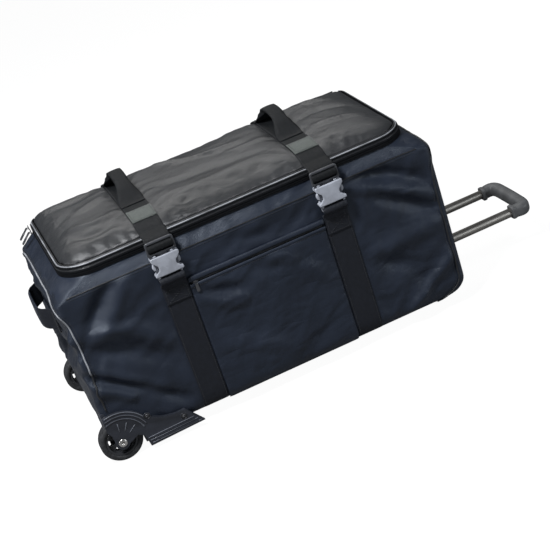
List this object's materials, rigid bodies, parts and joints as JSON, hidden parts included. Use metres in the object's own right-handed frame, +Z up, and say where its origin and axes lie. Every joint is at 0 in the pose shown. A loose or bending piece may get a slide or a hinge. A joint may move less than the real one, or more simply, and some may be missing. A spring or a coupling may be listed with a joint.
{
  "type": "rolling duffel bag",
  "caption": "Soft rectangular travel duffel on inline wheels, with a zipped and buckled lid, carry loops, a front pocket and a pull-out tube handle.",
  "frame": {"origin": "under the middle of the whole object, on the ground, with the lid shut and the handle pulled out part way", "axes": "+X from the wheels to the pull-out handle, -Y towards the buckled front, +Z up"},
  "size_m": [1.0116, 0.387, 0.461],
  "materials": {
    "body_fabric": "woven nylon with a soft sheen",
    "lid_fabric": "coated woven nylon, satin",
    "webbing": "ribbed woven webbing",
    "strap_patch": "loop pile, slightly speckled",
    "piping": "light grey reflective cord binding",
    "zip_tape": "knitted tape with a nylon coil",
    "zip_metal": "dark nickel",
    "board": "smooth sheet",
    "lining": "plain woven lining",
    "housing_plastic": "fine moulded texture",
    "buckle_plastic": "moulded, semi-gloss",
    "tyre_rubber": "smooth tread",
    "wheel_plastic": "moulded",
    "steel": "zinc plated",
    "tube_metal": "satin, warm grey",
    "grip_plastic": "soft-touch, satin",
    "button_plastic": "satin"
  },
  "bodies": {
    "bag": {"front_panel": "body_fabric", "rear_panel": "body_fabric", "wheel_end_panel": "body_fabric", "handle_end_panel": "body_fabric", "base_panel": "body_fabric", "base_board": "board", "compartment_floor": "lining", "front_zip_border": "body_fabric", "rear_hinge_border": "body_fabric", "end_borders": "body_fabric", "body_zip_tape": "zip_tape", "pocket_zip_tape": "zip_tape", "front_pocket_panel": "body_fabric", "front_strap_wheel_end": "webbing", "front_strap_handle_end": "webbing", "rear_straps": "webbing", "end_seam_piping": "piping", "end_grab_handle": "webbing", "buckle_socket_wheel_end": "buckle_plastic", "buckle_socket_handle_end": "buckle_plastic", "wheel_housing_front": "housing_plastic", "wheel_housing_rear": "housing_plastic", "axle_bolts": "steel", "housing_screws": "steel", "base_feet": "housing_plastic", "outer_tube_front": "tube_metal", "outer_tube_rear": "tube_metal", "tube_saddles": "housing_plastic", "handle_bezel": "housing_plastic"},
    "lid": {"lid_panel": "lid_fabric", "lid_zip_tape": "zip_tape", "lid_piping": "piping", "strap_patches": "strap_patch", "lid_strap_wheel_end": "webbing", "lid_strap_handle_end": "webbing", "carry_loop_wheel_end": "webbing", "carry_loop_handle_end": "webbing", "buckle_frame_wheel_end": "buckle_plastic", "buckle_frame_handle_end": "buckle_plastic"},
    "wheel_front": {"tyre_front": "tyre_rubber", "wheel_hub_front": "wheel_plastic"},
    "wheel_rear": {"tyre_rear": "tyre_rubber", "wheel_hub_rear": "wheel_plastic"},
    "trolley": {"inner_tube_front": "tube_metal", "inner_tube_rear": "tube_metal", "tube_end_plugs": "button_plastic", "grip": "grip_plastic"},
    "button": {"release_button": "button_plastic", "push_rods": "steel"},
    "lock_pins": {"lock_pins": "steel"},
    "slider_front": {"main_zip_slider_front": "zip_metal"},
    "slider_rear": {"main_zip_slider_rear": "zip_metal"},
    "pull_front": {"main_zip_pull_front": "zip_metal"},
    "pull_rear": {"main_zip_pull_rear": "zip_metal"},
    "pocket_slider": {"pocket_zip_slider": "zip_metal"},
    "pocket_pull": {"pocket_zip_pull": "zip_metal"},
    "prong_wheel_end_left": {"buckle_prong_wheel_end_left": "buckle_plastic"},
    "prong_wheel_end_right": {"buckle_prong_wheel_end_right": "buckle_plastic"},
    "prong_handle_end_left": {"buckle_prong_handle_end_left": "buckle_plastic"},
    "prong_handle_end_right": {"buckle_prong_handle_end_right": "buckle_plastic"}
  },
  "joints": [
    {"name": "wheel_spin_front", "type": "hinge", "parent": "bag", "child": "wheel_front", "pos_m": [-0.45725, -0.1625, 0.042], "axis": [0, 1, 0], "continuous": true},
    {"name": "wheel_spin_rear", "type": "hinge", "parent": "bag", "child": "wheel_rear", "pos_m": [-0.45725, 0.1695, 0.042], "axis": [0, 1, 0], "continuous": true},
    {"name": "handle_slide", "type": "slide", "parent": "bag", "child": "trolley", "axis": [1, 0, 0], "range_m": [-0.16, 0.18]},
    {"name": "button_press", "type": "slide", "parent": "trolley", "child": "button", "axis": [-1, 0, 0], "range_m": [0, 0.004], "stiffness_N_per_m": 1200},
    {"name": "lock_pins_retract", "type": "slide", "parent": "trolley", "child": "lock_pins", "axis": [0, 0, 1], "range_m": [0, 0.003]},
    {"name": "lid_hinge", "type": "hinge", "parent": "bag", "child": "lid", "pos_m": [-0.09525, 0.174, 0.39], "axis": [-1, 0, 0], "range_deg": [0, 110]},
    {"name": "main_zip_slide_front", "type": "slide", "parent": "bag", "child": "slider_front", "axis": [0, -1, 0], "range_m": [0, 0.22]},
    {"name": "main_zip_slide_rear", "type": "slide", "parent": "bag", "child": "slider_rear", "axis": [0, -1, 0], "range_m": [0, 0.013]},
    {"name": "main_zip_pull_front_swing", "type": "hinge", "parent": "slider_front", "child": "pull_front", "pos_m": [-0.45465, 0.1255, 0.3884], "axis": [0, 1, 0], "range_deg": [0, 130]},
    {"name": "main_zip_pull_rear_swing", "type": "hinge", "parent": "slider_rear", "child": "pull_rear", "pos_m": [-0.45465, 0.1535, 0.3884], "axis": [0, 1, 0], "range_deg": [0, 130]},
    {"name": "pocket_zip_slide", "type": "slide", "parent": "bag", "child": "pocket_slider", "axis": [1, 0, 0], "range_m": [0, 0.24]},
    {"name": "pocket_zip_pull_swing", "type": "hinge", "parent": "pocket_slider", "child": "pocket_pull", "pos_m": [-0.22225, -0.1824, 0.288], "axis": [-1, 0, 0], "range_deg": [0, 120]},
    {"name": "prong_wheel_end_left_squeeze", "type": "hinge", "parent": "lid", "child": "prong_wheel_end_left", "pos_m": [-0.27825, -0.184, 0.3645], "axis": [0, -1, 0], "range_deg": [0, 6], "stiffness_Nm_per_rad": 2},
    {"name": "prong_wheel_end_right_squeeze", "type": "hinge", "parent": "lid", "child": "prong_wheel_end_right", "pos_m": [-0.24425, -0.184, 0.3645], "axis": [0, 1, 0], "range_deg": [0, 6], "stiffness_Nm_per_rad": 2},
    {"name": "prong_handle_end_left_squeeze", "type": "hinge", "parent": "lid", "child": "prong_handle_end_left", "pos_m": [0.05375, -0.184, 0.3645], "axis": [0, -1, 0], "range_deg": [0, 6], "stiffness_Nm_per_rad": 2},
    {"name": "prong_handle_end_right_squeeze", "type": "hinge", "parent": "lid", "child": "prong_handle_end_right", "pos_m": [0.08775, -0.184, 0.3645], "axis": [0, 1, 0], "range_deg": [0, 6], "stiffness_Nm_per_rad": 2}
  ],
  "couplings": [
    {"joint": "lock_pins_retract", "follows": "button_press", "ratio": 0.75}
  ]
}
